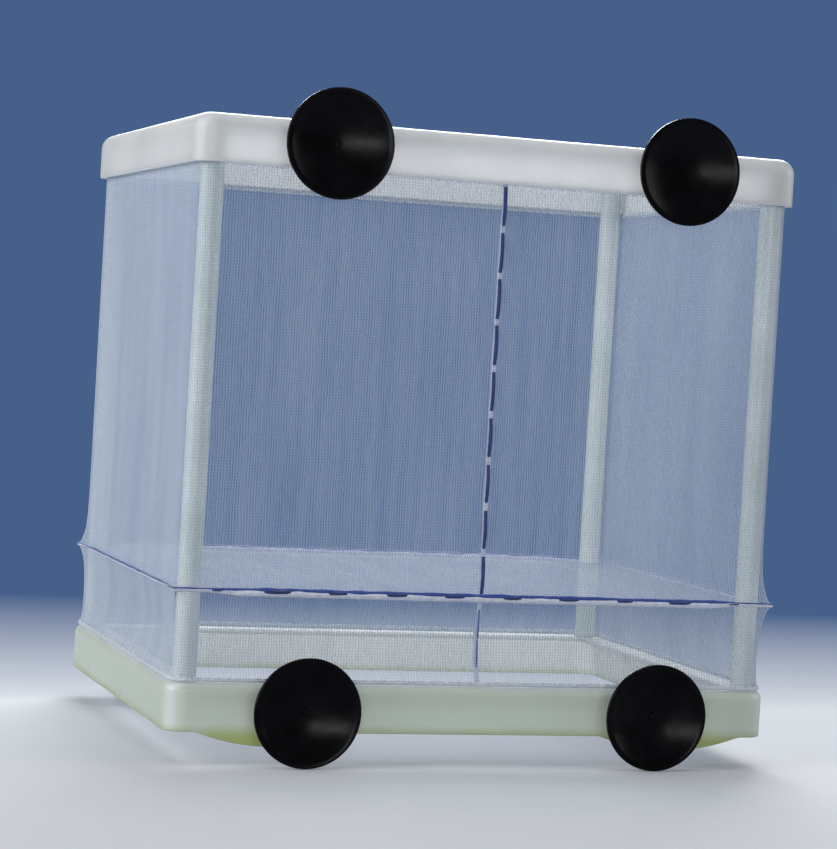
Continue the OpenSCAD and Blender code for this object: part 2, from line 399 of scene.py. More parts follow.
def knitted_net(name, pitch, slant_share=0.12):
    """Nylon net, warp knitted from fine white yarn with a blue cast: upright
    chains with cross yarns between them. The real mesh is about 0.5 mm, too
    fine to show, so it is drawn coarser, and a drawn hole still holds a little
    yarn. Seen or lit at a slant, the round yarns hide each other's gaps."""
    material, tree = new_material(name)
    uv = add(tree, "ShaderNodeUVMap", uv_map="cloth").outputs["UV"]
    pulled, _ = wandering(tree, uv, 1 / (14 * MM), 1.2 * MM)
    moved = add(tree, "ShaderNodeVectorMath", {0: uv, 1: pulled}, operation="ADD")
    weave = yarn_waves(tree, moved, pitch, 0.45)
    gap = add(tree, "ShaderNodeMapRange", {0: weave, 1: -0.6, 2: 0.6, 3: 0.66, 4: 0.97})
    streaks = add(tree, "ShaderNodeMapRange", {
        0: blotches(tree, uv, 4 * MM, 3.0, (1, 14, 1)), 1: 0.3, 2: 0.7, 3: 0.86, 4: 1.0})
    slant = add(tree, "ShaderNodeLayerWeight", {"Blend": 0.5}).outputs["Facing"]
    open_share = add(tree, "ShaderNodeMapRange", {0: slant, 1: 0.1, 2: 0.9, 3: 1.0, 4: slant_share})
    hole = add(tree, "ShaderNodeMath", {0: gap, 1: streaks}, operation="MULTIPLY")
    hole = add(tree, "ShaderNodeMath", {0: hole, 1: open_share}, operation="MULTIPLY")
    clouds = blotches(tree, uv, 16 * MM, 3.0, (1, 5, 1))
    tone = mottled(tree, clouds, 0.3, 0.7, "#CFDCF0", "#BBCBE3")
    shader = add(tree, "ShaderNodeBsdfPrincipled", {
        "Base Color": tone,
        "Roughness": 0.6,
        "IOR": 1.53,
        "Sheen Weight": 0.3,
        "Sheen Roughness": 0.4,
        "Normal": add(tree, "ShaderNodeBump", {"Height": weave, "Distance": -0.1 * MM}),
    })
    glow = add(tree, "ShaderNodeBsdfTranslucent", {"Color": tone})
    cloth = add(tree, "ShaderNodeMixShader", {0: 0.12, 1: shader, 2: glow})
    clear = add(tree, "ShaderNodeBsdfTransparent")
    net = add(tree, "ShaderNodeMixShader", {0: hole, 1: cloth, 2: clear})
    add(tree, "ShaderNodeOutputMaterial", {"Surface": net})
    return material


def folded_net(name, colour, shade):
    """The same net folded three or four deep and sewn down, so that no hole
    goes through: a soft, dense edge with the yarns still showing."""
    material, tree = new_material(name)
    uv = add(tree, "ShaderNodeUVMap", uv_map="cloth").outputs["UV"]
    weave = yarn_waves(tree, uv, 0.5 * MM, 1.0)
    creases = blotches(tree, uv, 1.6 * MM, 3.0)
    faint = add(tree, "ShaderNodeMath", {0: weave, 1: 0.2}, operation="MULTIPLY")
    height = add(tree, "ShaderNodeMath", {0: faint, 1: creases}, operation="ADD")
    shader = add(tree, "ShaderNodeBsdfPrincipled", {
        "Base Color": mottled(tree, creases, 0.3, 0.7, colour, shade),
        "Roughness": 0.7,
        "IOR": 1.53,
        "Sheen Weight": 0.3,
        "Sheen Roughness": 0.4,
        "Normal": add(tree, "ShaderNodeBump", {"Height": height, "Distance": 0.15 * MM}),
    })
    add(tree, "ShaderNodeOutputMaterial", {"Surface": shader})
    return material


def sewing_thread(name, colour, shade):
    """Polyester thread, spun and twisted from several plies: matt, with painted
    shade in the valleys between the plies. A ply is about 0.15 mm, drawn here at 0.5 mm."""
    material, tree = new_material(name)
    place = add(tree, "ShaderNodeTexCoord").outputs["Object"]
    plies = blotches(tree, place, 0.5 * MM)
    shader = add(tree, "ShaderNodeBsdfPrincipled", {
        "Base Color": mottled(tree, plies, 0.35, 0.65, shade, colour),
        "Roughness": 0.55,
        "Sheen Weight": 0.25,
        "Sheen Roughness": 0.4,
        "Normal": add(tree, "ShaderNodeBump", {"Height": plies, "Distance": 0.12 * MM}),
    })
    add(tree, "ShaderNodeOutputMaterial", {"Surface": shader})
    return material


def braided_elastic():
    """Braided elastic: polyester yarn round rubber threads, with fine cross ribs
    and painted shade in the grooves between them.
    """
    material, tree = new_material("braided_elastic")
    uv = add(tree, "ShaderNodeUVMap", uv_map="cloth").outputs["UV"]
    along = add(tree, "ShaderNodeSeparateXYZ", {0: uv}).outputs["X"]
    turn = add(tree, "ShaderNodeMath", {0: along, 1: TAU / (0.6 * MM)}, operation="MULTIPLY")
    ribs = add(tree, "ShaderNodeMath", {0: turn}, operation="SINE")
    shader = add(tree, "ShaderNodeBsdfPrincipled", {
        "Base Color": mottled(tree, ribs, -1.0, 1.0, "#D9D9D2", "#EEEEE8"),
        "Roughness": 0.75,
        "Normal": add(tree, "ShaderNodeBump", {"Height": ribs, "Distance": 0.08 * MM}),
    })
    add(tree, "ShaderNodeOutputMaterial", {"Surface": shader})
    return material


def soft_pvc():
    """Plasticised PVC, injection moulded: black, dense and glossy, slightly
    greasy, so the gloss is uneven."""
    material, tree = new_material("moulded_soft_pvc")
    place = add(tree, "ShaderNodeTexCoord").outputs["Object"]
    film_and_shade = blotches(tree, place, 5 * MM, 4.0)
    shader = add(tree, "ShaderNodeBsdfPrincipled", {
        "Base Color": mottled(tree, film_and_shade, 0.3, 0.7, "#08080A", "#0D0D11"),
        "Roughness": add(tree, "ShaderNodeMapRange", {0: film_and_shade, 1: 0.3, 2: 0.7, 3: 0.2, 4: 0.3}),
        "IOR": 1.53,
        "Specular IOR Level": 0.08,
        "Normal": add(tree, "ShaderNodeBump", {"Height": film_and_shade, "Distance": 0.03 * MM}),
    })
    add(tree, "ShaderNodeOutputMaterial", {"Surface": shader})
    return material


RIM_PLASTIC = moulded_polystyrene("moulded_polystyrene", "#E3E6E8", "#D9DDDF")
# The lower rim: painted shade on its outside faces and a painted green reflection along its lowest edge
BASE_PLASTIC = moulded_polystyrene(
    "moulded_polystyrene_painted_shade_and_reflection", "#E3E8E6", "#D7DEDA", "#CAD7C7", "#A3B055")
TUBE_PLASTIC = extruded_tube()
NET = knitted_net("knitted_nylon_net", 0.75 * MM)
FLOOR_NET = knitted_net("knitted_nylon_floor_net", 0.75 * MM, 0.6)
HEM_CLOTH = folded_net("folded_hem", "#DDE4EC", "#C0CCDC")
# Painted light: the folded seam edges are the same white net as the hem, but are painted brighter because
# they lie in shade
LIP_CLOTH = folded_net("folded_seam_edge", "#F2F4FF", "#D3DCF8")
BLUE_THREAD = sewing_thread("blue_polyester_thread", "#4260B0", "#243D8A")
NAVY_THREAD = sewing_thread("navy_polyester_thread", "#213F86", "#10245C")
WHITE_THREAD = sewing_thread("white_polyester_thread", "#F2F4F6", "#C9D0D8")
ELASTIC = braided_elastic()
CUP_PVC = soft_pvc()


# ---------------------------------------------------------------- dressing
def dress(obj, material, body, slot, *nodes):
    """Gives a finished piece its material, its body and the nodes it stands for."""
    obj.data.materials.clear()
    obj.data.materials.append(material)
    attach(obj, body)
    if nodes:
        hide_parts(*nodes)
    return obj


# ---------------------------------------------------------------- rims
def rim_section(edge_r, top):
    """Section of a rim as (inset, height) pairs: up the wall, over the rounded
    edge, round the ledge's inner edge, and back down inside the wall."""
    low, inner = top - RIM_H, LEDGE_W
    roll = (edge_r, top - edge_r)
    section = [(EDGE_BREAK, low), (0, low + EDGE_BREAK)]
    section += arc(roll, edge_r, 180, 90)
    section += [(inner - EDGE_BREAK, top), (inner, top - EDGE_BREAK)]
    section += [(inner, top - WALL + EDGE_BREAK), (inner - EDGE_BREAK, top - WALL)]
    section += arc(roll, edge_r - WALL, 90, 180)
    section += [(WALL, low + EDGE_BREAK), (WALL - EDGE_BREAK, low)]
    return section


def lug_depth(x, cup_x):
    """How far the front wall dips at x: two shallow lugs, outboard of the cups."""
    radius = (LUG_HALF_W ** 2 + LUG_DROP ** 2) / (2 * LUG_DROP)
    off = abs(abs(x) - cup_x - LUG_SHIFT)
    if off >= LUG_HALF_W:
        return 0.0
    return math.sqrt(radius ** 2 - off ** 2) - (radius - LUG_DROP)


def rim(name, edge_r, top, cups, spigot_z, lugs=False):
    """A whole rim with its pads and bores for the two cups and its spigots."""
    rings = []
    for inset, z in rim_section(edge_r, top):
        radius = CORNER_R - inset if inset <= edge_r else LEDGE_CORNER_R
        rings.append(outline(inset, z, radius))
    cup_x = abs(cups[0].x)
    if lugs:
        foot = top - RIM_H + 2 * EDGE_BREAK
        for ring in rings:
            for p in ring:
                if p.z < foot and p.y < FRONT + WALL + EDGE_BREAK:
                    p.z -= lug_depth(p.x, cup_x)
    shell = clean(loft(name, rings, closed=True))
    pads, bores, spigots = [], [], []
    for cup in cups:
        face = Vector((cup.x, FRONT, cup.z))
        pads.append(turned("pad", [
            (0, PAD_ROOT), (PAD_R, PAD_ROOT), (PAD_R, PAD_T - EDGE_BREAK),
            (PAD_R - EDGE_BREAK, PAD_T), (0, PAD_T)], face, "Y"))
        bores.append(turned("bore", [
            (0, -PAD_T), (BORE_R, -PAD_T), (BORE_R, 2 * PAD_T), (0, 2 * PAD_T)], face, "Y"))
    for sx in (-1, 1):
        for y in POST_YS:
            foot = Vector((sx * POST_X, y, spigot_z))
            tip = SPIGOT_LEN + WALL / 2
            spigots.append(turned("spigot", [
                (0, 0), (SPIGOT_R, 0), (SPIGOT_R, tip - SPIGOT_TAPER_LEN),
                (SPIGOT_R - SPIGOT_TAPER, tip), (0, tip)], foot, "Z", 32))
    if spigot_z > 0:
        for spigot in spigots:
            for v in spigot.data.vertices:
                v.co.z = 2 * spigot_z - v.co.z
            clean(spigot)
    combine(shell, joined("pads_and_spigots", pads + spigots), "UNION")
    combine(shell, joined("bores", bores), "DIFFERENCE")
    return clean(shell)


def cup_middle(name):
    low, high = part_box(name)
    return Vector(((low.x + high.x) / 2, 0, (low.z + high.z) / 2))


CUP_MIDDLES = {name: cup_middle(name) for name in CUP_NAMES}
top_cups = [CUP_MIDDLES[name] for name in CUP_NAMES[:2]]
bottom_cups = [CUP_MIDDLES[name] for name in CUP_NAMES[2:]]

top_rim = rim("top_rim_moulding", TOP_EDGE_R, TOP_Z, top_cups, TOP_Z - WALL / 2)
bottom_rim = rim("bottom_rim_moulding", BOTTOM_EDGE_R, LEDGE_Z, bottom_cups,
                 LEDGE_Z - WALL / 2, lugs=True)
dress(top_rim, RIM_PLASTIC, FRAME_BODY, "rim_plastic", "top_rim")
dress(bottom_rim, BASE_PLASTIC, FRAME_BODY, "rim_plastic", "bottom_rim")


# ---------------------------------------------------------------- posts
def post(name):
    """A corner post: a cut length of tube with its ends lightly chamfered."""
    low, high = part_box(name)
    middle = Vector(((low.x + high.x) / 2, (low.y + high.y) / 2, 0))
    bevel = 0.3 * MM
    profile = [
        (POST_BORE_R + bevel, low.z), (POST_R - bevel, low.z), (POST_R, low.z + bevel),
        (POST_R, high.z - bevel), (POST_R - bevel, high.z), (POST_BORE_R + bevel, high.z),
        (POST_BORE_R, high.z - bevel), (POST_BORE_R, low.z + bevel),
    ]
    tube = turned(name + "_tube", profile, middle, "Z", 56, closed=True)
    return dress(tube, TUBE_PLASTIC, FRAME_BODY, "post_plastic", name)


posts = [post(f"{depth}_{side}_post") for depth in ("front", "back") for side in ("left", "right")]


# ---------------------------------------------------------------- net walls
# How far the cloth moves from its plain path round the posts, with the widths
# (_W), heights (_H) and pitches over which it does. HOLD is how far the gathers
# of a hem and the puckers of the floor seam reach into the cloth.
EDGE_PAST_TIP = 0.45 * MM
TIP_LIFT = TIP_REACH - (CORNER_R - NET_INSET) - EDGE_PAST_TIP
TIP_W, TIP_H = 2.4 * MM, 5 * MM
DRAW_ABOVE, DRAW_BELOW = 0.9 * MM, 2.0 * MM
PUCKER, PUCKER_PITCH = 0.16 * MM, 4.4 * MM
GATHER, GATHER_PITCH = 0.2 * MM, 5.5 * MM
FOOT_FLARE, FOOT_H = 0.8 * MM, 2.4 * MM
STREAK, STREAK_W, STREAK_H = 0.22 * MM, 7 * MM, 60 * MM
SLACK_FROM_POST = 22 * MM
HEM_HOLD, SEAM_HOLD = 5 * MM, 3 * MM
WANDER, WANDER_W = 2.5, 9 * MM
FINE_ROW, COARSE_ROW = 0.7 * MM, 3 * MM

POST_MIDDLES = [Vector((sx * POST_X, y, 0)) for sx in (-1, 1) for y in POST_YS]


class Station:
    """A place on the wall net's path round the frame. slack goes from 0 over a
    post to 1 on a free panel. fullness is how much of the floor seam shows: all
    of it on the front and back, less at the sides and over the posts."""

    def __init__(self, point, out, along):
        self.point, self.out, self.along = point, out, along
        post_middle = min(POST_MIDDLES, key=lambda middle: (middle - point).length)
        side = Vector((math.copysign(1, point.x), math.copysign(1, point.y - MID_Y), 0))
        self.corner_out = side.normalized()
        tip_root = post_middle + self.corner_out * (CORNER_R - NET_INSET)
        self.from_tip = (point - tip_root).length
        free = max(0.0, (point - post_middle).length - CORNER_R) / SLACK_FROM_POST
        self.slack = math.sin(min(1.0, free) * math.pi / 2)
        self.fullness = (0.35 + 0.65 * min(1.0, 3 * free)) * (0.45 + 0.55 * abs(out.y))


net_line = outline(NET_INSET)
net_out = [(p - q).normalized() for p, q in zip(outline(0), outline(1 * MM))]
STATIONS = [Station(*row) for row in zip(net_line, net_out, running(net_line))]
FRONT_MIDDLE = STATIONS[0]


def panel_lift(station, z):
    """Movement of a net panel between two posts: drawn in by the elastic hems,
    streaked up and down, gathered at the hems and puckered at the floor seam."""
    above = z > FLOOR_Z
    end = NET_HIGH.z if above else NET_LOW.z
    share = min(1.0, (z - FLOOR_Z) / (end - FLOOR_Z))
    drawn = math.sin(math.pi * share) * (DRAW_ABOVE if above else DRAW_BELOW)
    s = station.along
    streaks = STREAK * noise.noise(Vector((s / STREAK_W, z / STREAK_H, 3.1)))
    to_hem = max(0.0, min(NET_HIGH.z - z, z - NET_LOW.z))
    wander = WANDER * noise.noise(Vector((s / WANDER_W, 0, 7.7)))
    gathers = GATHER * math.exp(-to_hem / HEM_HOLD) * math.sin(TAU * s / GATHER_PITCH + wander)
    fade = math.exp(-abs(z - FLOOR_Z) / SEAM_HOLD)
    puckers = PUCKER * fade * math.sin(TAU * s / PUCKER_PITCH + wander)
    return station.slack * (streaks + gathers + puckers - drawn)


def wall_point(station, z, lift=0.0, tip=1.0):
    """A point on the net wall, or lift metres outside it, with the loose tip
    that stands out at each corner at the height of the floor; the sewing
    follows only a share of it."""
    point = Vector((station.point.x, station.point.y, z))
    away = tip * TIP_LIFT * math.exp(-station.from_tip / TIP_W - abs(z - FLOOR_Z) / TIP_H)
    flare = FOOT_FLARE * math.exp(-max(0.0, z - NET_LOW.z) / FOOT_H)
    out = lift + flare + panel_lift(station, z)
    return point + station.out * out + station.corner_out * away


def net_heights():
    """Rows of the net wall, closer together near the floor seam and the hems."""
    heights = [NET_LOW.z - NET_T]
    while heights[-1] < NET_HIGH.z:
        z = heights[-1]
        near = min(abs(z - FLOOR_Z), z - NET_LOW.z, NET_HIGH.z - z)
        heights.append(z + min(COARSE_ROW, max(FINE_ROW, 0.25 * near)))
    heights[-1] = NET_HIGH.z + NET_T
    return heights


wall_rows = [[wall_point(station, z) for station in STATIONS] for z in net_heights()]
wall_net = smooth(loft("wall_net_cloth", wall_rows), 180)
dress(wall_net, NET, FRAME_BODY, "net", "wall_net")


# ---------------------------------------------------------------- net floor
FLOOR_SAG = 1.6 * MM
FLOOR_RUMPLE, RUMPLE_W = 0.35 * MM, 16 * MM
FLOOR_GRID = 4 * MM
POST_CLEAR = 0.2 * MM
HALF_FLOOR = Vector((HALF_W - NET_INSET, HALF_D - NET_INSET))


def floor_height(x, y):
    """The floor hangs between its seams and is a little rumpled."""
    across, deep = x / HALF_FLOOR.x, (y - MID_Y) / HALF_FLOOR.y
    free = max(0.0, 1 - across ** 2) * max(0.0, 1 - deep ** 2)
    rumple = noise.noise(Vector((x / RUMPLE_W, y / RUMPLE_W, 1.3)))
    return FLOOR_Z - FLOOR_SAG * free + FLOOR_RUMPLE * min(1.0, 4 * free) * rumple


def floor_net():
    """The floor panel, sewn in along the walls and open round the four posts."""
    opening = POST_R + POST_CLEAR
    loops = [[station.point.xy for station in STATIONS]]
    for post_middle in POST_MIDDLES:
        loops.append([Vector(p) for p in arc(post_middle, opening, 0, 350, 35)])
    points, edges = [], []
    for loop in loops:
        first = len(points)
        points += loop
        edges += [(first + i, first + (i + 1) % len(loop)) for i in range(len(loop))]
    nx, ny = (round(2 * half / FLOOR_GRID) for half in HALF_FLOOR)
    for i in range(1, nx):
        for j in range(1, ny):
            spot = Vector((HALF_FLOOR.x * (2 * i / nx - 1), MID_Y + HALF_FLOOR.y * (2 * j / ny - 1)))
            if min((spot - m.xy).length for m in POST_MIDDLES) > opening + 1 * MM:
                points.append(spot)
    wall_face = list(range(len(STATIONS)))
    flat, _, triangles, *_ = geometry.delaunay_2d_cdt(points, edges, [wall_face], 1, 1e-7)
    kept = []
    for triangle in triangles:
        centre = sum((flat[i] for i in triangle), Vector((0, 0))) / 3
        if min((centre - m.xy).length for m in POST_MIDDLES) > opening * 0.98:
            kept.append(triangle)
    mesh = bpy.data.meshes.new("floor_net_cloth")
    mesh.from_pydata([(p.x, p.y, floor_height(p.x, p.y)) for p in flat], [], kept)
    layer = mesh.uv_layers.new(name="cloth")
    for loop in mesh.loops:
        layer.data[loop.index].uv = mesh.vertices[loop.vertex_index].co.xy
    return smooth(link("floor_net_cloth", mesh), 180)


floor_cloth = dress(floor_net(), FLOOR_NET, FRAME_BODY, "net", "floor_net")


# ---------------------------------------------------------------- folded edges
def oval(half_w, half_h, count=14, power=0.7):
    """Points of a squarish oval, anticlockwise."""
    points = []
    for i in range(count):
        c, s = math.cos(TAU * i / count), math.sin(TAU * i / count)
        points.append((half_w * math.copysign(abs(c) ** power, c),
                       half_h * math.copysign(abs(s) ** power, s)))
    return points


FOLD_T = FOLD_HIGH.y - FOLD_LOW.y
SEAM_W = 1.3 * MM
FOLD_SWAY, FOLD_SWAY_H = 0.12 * MM, 6 * MM
FOLD_SWELL, FOLD_SWELL_H = 0.1, 3 * MM
fold_rings = []
for z in net_heights():
    middle = wall_point(FRONT_MIDDLE, z, -(NET_T + FOLD_T) / 2)
    middle.x += FOLD_SWAY * noise.noise(Vector((z / FOLD_SWAY_H, 5.1, 0)))
    width = SEAM_W / 2 * (1 + FOLD_SWELL * noise.noise(Vector((z / FOLD_SWELL_H, 9.4, 0))))
    fold_rings.append([middle + Vector((x, y, 0)) for x, y in oval(width, FOLD_T / 2)])
front_fold = clean(loft("front_seam_fold", fold_rings, caps=True), 60)
# The fold inside the front seam lies in shade; its brighter seam-edge cloth is painted light
dress(front_fold, LIP_CLOTH, FRAME_BODY, "net", "front_seam")


def band_round(name, section, place):
    """A closed band round the frame; place turns a station and a section point
    into a point in space."""
    rings = [[place(station, *spot) for station in STATIONS] for spot in section]
    return clean(loft(name, rings, closed=True), 60)


LIP_D = SEAM_HIGH.y - BACK + NET_INSET
LIP_SECTION = oval(0.5, 0.5, 12, 0.9)
LIP_WAVER, LIP_WAVER_W = 0.12 * MM, 5 * MM


def lip_place(station, out, up):
    """The raised edge of the floor seam: a soft fold that wavers along its way,
    and is stretched thin round the posts."""
    waver = noise.noise(Vector((station.along / LIP_WAVER_W, 2.2, 0)))
    depth = station.fullness * LIP_D * (1 + 0.15 * waver)
    height = station.fullness * LIP_H * (1.25 * up - 0.12)
    z = FLOOR_Z + height + LIP_WAVER * waver * station.slack
    return wall_point(station, z, NET_T / 4 + depth * (out + 0.5))


floor_lip = band_round("floor_seam_lip", LIP_SECTION, lip_place)
# The floor seam's lip faces down into shade; its brighter seam-edge cloth is painted light
dress(floor_lip, LIP_CLOTH, FRAME_BODY, "net", "floor_seam")

HEM_IN = CORNER_R - POST_R - FACE_GAP
HEM_GATHER_PITCH = 2.9 * MM
TUNNEL_SHARES = (0.28, 0.26)


def hem_pieces(side):
    """A narrow rolled hem, hollow along its middle, with the elastic in its tunnel."""
    low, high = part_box(f"{side}_hem")
    hem_out = HALF_W - high.x
    middle_z, hem_h, hem_t = (low.z + high.z) / 2, high.z - low.z, HEM_IN - hem_out
    band_low, band_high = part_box(f"{side}_elastic")
    core_z, core_h = (band_low.z + band_high.z) / 2, band_high.z - band_low.z
    flare = FOOT_FLARE if side == "bottom" else 0.0

    def on_hem(station, out, up):
        gather = 1 - 0.09 * (1 + math.sin(TAU * station.along / HEM_GATHER_PITCH))
        lift = flare + NET_INSET - (hem_out + HEM_IN) / 2 + out * gather
        return station.point + station.out * lift + Vector((0, 0, middle_z + up))

    def on_core(station, out, up):
        return station.point + station.out * (flare + out) + Vector((0, 0, core_z + up))

    skin = band_round(f"{side}_hem_roll", oval(hem_t / 2, hem_h / 2), on_hem)
    tunnel = oval(hem_t * TUNNEL_SHARES[0], hem_h * TUNNEL_SHARES[1])
    lining = band_round("lining", tunnel, on_hem)
    lining.data.flip_normals()
    roll = smooth(joined(f"{side}_hem_roll", [skin, lining]), 60)
    core = band_round(f"{side}_elastic_cord", oval(core_h / 2, core_h / 2, 8, 1.0), on_core)
    dress(roll, HEM_CLOTH, FRAME_BODY, "hem_tape", f"{side}_hem")
    dress(core, ELASTIC, FRAME_BODY, "elastic", f"{side}_elastic")
    return roll, core


top_hem, top_core = hem_pieces("top")
bottom_hem, bottom_core = hem_pieces("bottom")


# ---------------------------------------------------------------- stitches
def new_geometry_tree(name, sizes):
    """A geometry tree with a path, sizes, a seed and a material as named inputs."""
    tree = bpy.data.node_groups.new(name, "GeometryNodeTree")
    ends = [("Path", "Geometry", "INPUT")]
    ends += [(size, "Float", "INPUT") for size in sizes]
    ends += [("Seed", "Int", "INPUT"), ("Material", "Material", "INPUT")]
    ends += [("Geometry", "Geometry", "OUTPUT")]
    for end, kind, way in ends:
        tree.interface.new_socket(name=end, in_out=way, socket_type="NodeSocket" + kind)
    return tree, add(tree, "NodeGroupInput").outputs


def end_tree(tree, geometry_socket, material):
    """Smooth shading and a material on whole, realized geometry."""
    real = add(tree, "GeometryNodeRealizeInstances", {0: geometry_socket})
    soft = add(tree, "GeometryNodeSetShadeSmooth", {0: real})
    done = add(tree, "GeometryNodeSetMaterial", {0: soft, "Material": material})
    add(tree, "NodeGroupOutput", {0: done})


def even_path(tree, path, step):
    """The given path as a curve with a point at every step."""
    curve = add(tree, "GeometryNodeMeshToCurve", {0: path})
    return add(tree, "GeometryNodeResampleCurve", {0: curve, "Length": step}, mode="LENGTH")


def thread_along(tree, curve, radius, sides, swell=1.0):
    """A round thread along a curve, with closed ends."""
    ring = add(tree, "GeometryNodeCurvePrimitiveCircle", {"Resolution": sides, "Radius": radius})
    given = {0: curve, 1: ring, "Scale": swell, "Fill Caps": True}
    return add(tree, "GeometryNodeCurveToMesh", given)


def stitch_row_tree():
    """Stitches set along a path, each a short arch of thread whose ends dip into
    the cloth. The path's points carry "out", the way that the cloth faces, and
    "fullness", the share of its full size that a stitch has there."""
    sizes = ["Pitch", "Length", "Radius", "Rise", "Slant", "Unevenness"]
    tree, given = new_geometry_tree("stitch_row", sizes)
    even = even_path(tree, given["Path"], given["Pitch"])
    spots = add(tree, "GeometryNodeCurveToPoints", {0: even}, mode="EVALUATED").outputs
    out = add(tree, "GeometryNodeInputNamedAttribute", {"Name": "out"}, data_type="FLOAT_VECTOR")
    full = add(tree, "GeometryNodeInputNamedAttribute", {"Name": "fullness"}, data_type="FLOAT")
    turn = add(tree, "FunctionNodeAxesToRotation", {0: spots["Tangent"], 1: out},
               primary_axis="X", secondary_axis="Z")
    half = add(tree, "ShaderNodeMath", {0: given["Length"], 1: 0.5}, operation="MULTIPLY")
    back = add(tree, "ShaderNodeMath", {0: half, 1: -1.0}, operation="MULTIPLY")
    peak = add(tree, "ShaderNodeMath", {0: given["Rise"], 1: 2.0}, operation="MULTIPLY")
    dip = add(tree, "ShaderNodeMath", {0: given["Radius"], 1: -1.0}, operation="MULTIPLY")
    start = add(tree, "ShaderNodeCombineXYZ", {0: back, 2: dip})
    top = add(tree, "ShaderNodeCombineXYZ", {2: peak})
    end = add(tree, "ShaderNodeCombineXYZ", {0: half, 2: dip})
    bends = {"Resolution": 6, "Start": start, "Middle": top, "End": end}
    arch = add(tree, "GeometryNodeCurveQuadraticBezier", bends)
    stitch = thread_along(tree, arch, given["Radius"], 6)
    low = add(tree, "ShaderNodeMath", {0: 1.0, 1: given["Unevenness"]}, operation="SUBTRACT")
    high = add(tree, "ShaderNodeMath", {0: 1.0, 1: given["Unevenness"]}, operation="ADD")
    drawn = add(tree, "FunctionNodeRandomValue", {2: low, 3: high, "Seed": given["Seed"]})
    size = add(tree, "ShaderNodeMath", {0: drawn, 1: full}, operation="MULTIPLY")
    row = add(tree, "GeometryNodeInstanceOnPoints",
              {0: spots["Points"], "Instance": stitch, "Rotation": turn, "Scale": size})
    low = add(tree, "ShaderNodeMath", {0: given["Slant"], 1: 0.8}, operation="MULTIPLY")
    high = add(tree, "ShaderNodeMath", {0: given["Slant"], 1: 1.2}, operation="MULTIPLY")
    swing = add(tree, "FunctionNodeRandomValue", {2: low, 3: high, "Seed": given["Seed"]})
    slant = add(tree, "ShaderNodeCombineXYZ", {2: swing})
    row = add(tree, "GeometryNodeRotateInstances", {0: row, "Rotation": slant, "Local Space": True})
    end_tree(tree, row, given["Material"])
    return tree


def running_thread_tree():
    """A thread that lies along a path and wanders and swells a little."""
    tree, given = new_geometry_tree("running_thread", ["Step", "Radius", "Wander", "Grain"])
    even = even_path(tree, given["Path"], given["Step"])
    place = add(tree, "GeometryNodeInputPosition")
    offset, drift = wandering(tree, place, given["Grain"], given["Wander"])
    laid = add(tree, "GeometryNodeSetPosition", {0: even, "Offset": offset})
    uneven = add(tree, "ShaderNodeMapRange", {0: drift, 1: 0.3, 2: 0.7, 3: 0.75, 4: 1.3})
    full = add(tree, "GeometryNodeInputNamedAttribute", {"Name": "fullness"}, data_type="FLOAT")
    swell = add(tree, "ShaderNodeMath", {0: full, 1: uneven}, operation="MULTIPLY")
    thread = thread_along(tree, laid, given["Radius"], 8, swell)
    end_tree(tree, thread, given["Material"])
    return tree


STITCH_ROW = stitch_row_tree()
RUNNING_THREAD = running_thread_tree()
SEAM_STEP = 1 * MM


def path_line(points, outs, fullness, closed):
    """A line of edges for a geometry tree to follow, which knows where out is
    and how thick the sewing shows."""
    mesh = bpy.data.meshes.new("path")
    edges = [(i, i + 1) for i in range(len(points) - 1)]
    if closed:
        edges.append((len(points) - 1, 0))
    mesh.from_pydata(points, edges, [])
    facing = mesh.attributes.new("out", "FLOAT_VECTOR", "POINT")
    for spot, out in zip(facing.data, outs):
        spot.vector = out
    weight = mesh.attributes.new("fullness", "FLOAT", "POINT")
    for spot, full in zip(weight.data, fullness):
        spot.value = full
    return link("path", mesh)


def sewn(name, tree, path, closed, material, seed, **sizes):
    """A plain mesh of what a geometry tree makes along a line of points."""
    line = path_line(*path, closed)
    modifier = line.modifiers.new("sewing", "NODES")
    modifier.node_group = tree
    given = {**sizes, "Seed": seed, "Material": material}
    for item in tree.interface.items_tree:
        if item.in_out == "INPUT" and item.name in given:
            modifier[item.identifier] = given[item.name]
    settle(line)
    line.name = name
    line.data.name = name
    return dress(line, material, FRAME_BODY, "seam_thread")


def upright_seam(z_low, z_high, lift):
    """Points, facing and fullness of a line up the middle of the front panel."""
    count = round((z_high - z_low) / SEAM_STEP)
    heights = [z_low + (z_high - z_low) * i / count for i in range(count + 1)]
    facing = FRONT_MIDDLE.out if lift > 0 else -FRONT_MIDDLE.out
    points = [wall_point(FRONT_MIDDLE, z, lift) for z in heights]
    return points, [facing] * len(heights), [1.0] * len(heights)


def seam_round(z, lift, tip, thinned=True, stations=STATIONS):
    """Points, facing and fullness of a line round the net walls, or along the
    given stations of them."""
    points = [wall_point(s, z, lift, tip) for s in stations]
    return points, [s.out for s in stations], [s.fullness if thinned else 1.0 for s in stations]


def panel_stations(side):
    """Stations of the front panel, side -1, or the back panel, side 1."""
    flat = [s for s in STATIONS if s.out.y * side > 0.999 and s.slack > 0.1]
    return sorted(flat, key=lambda s: s.point.x)


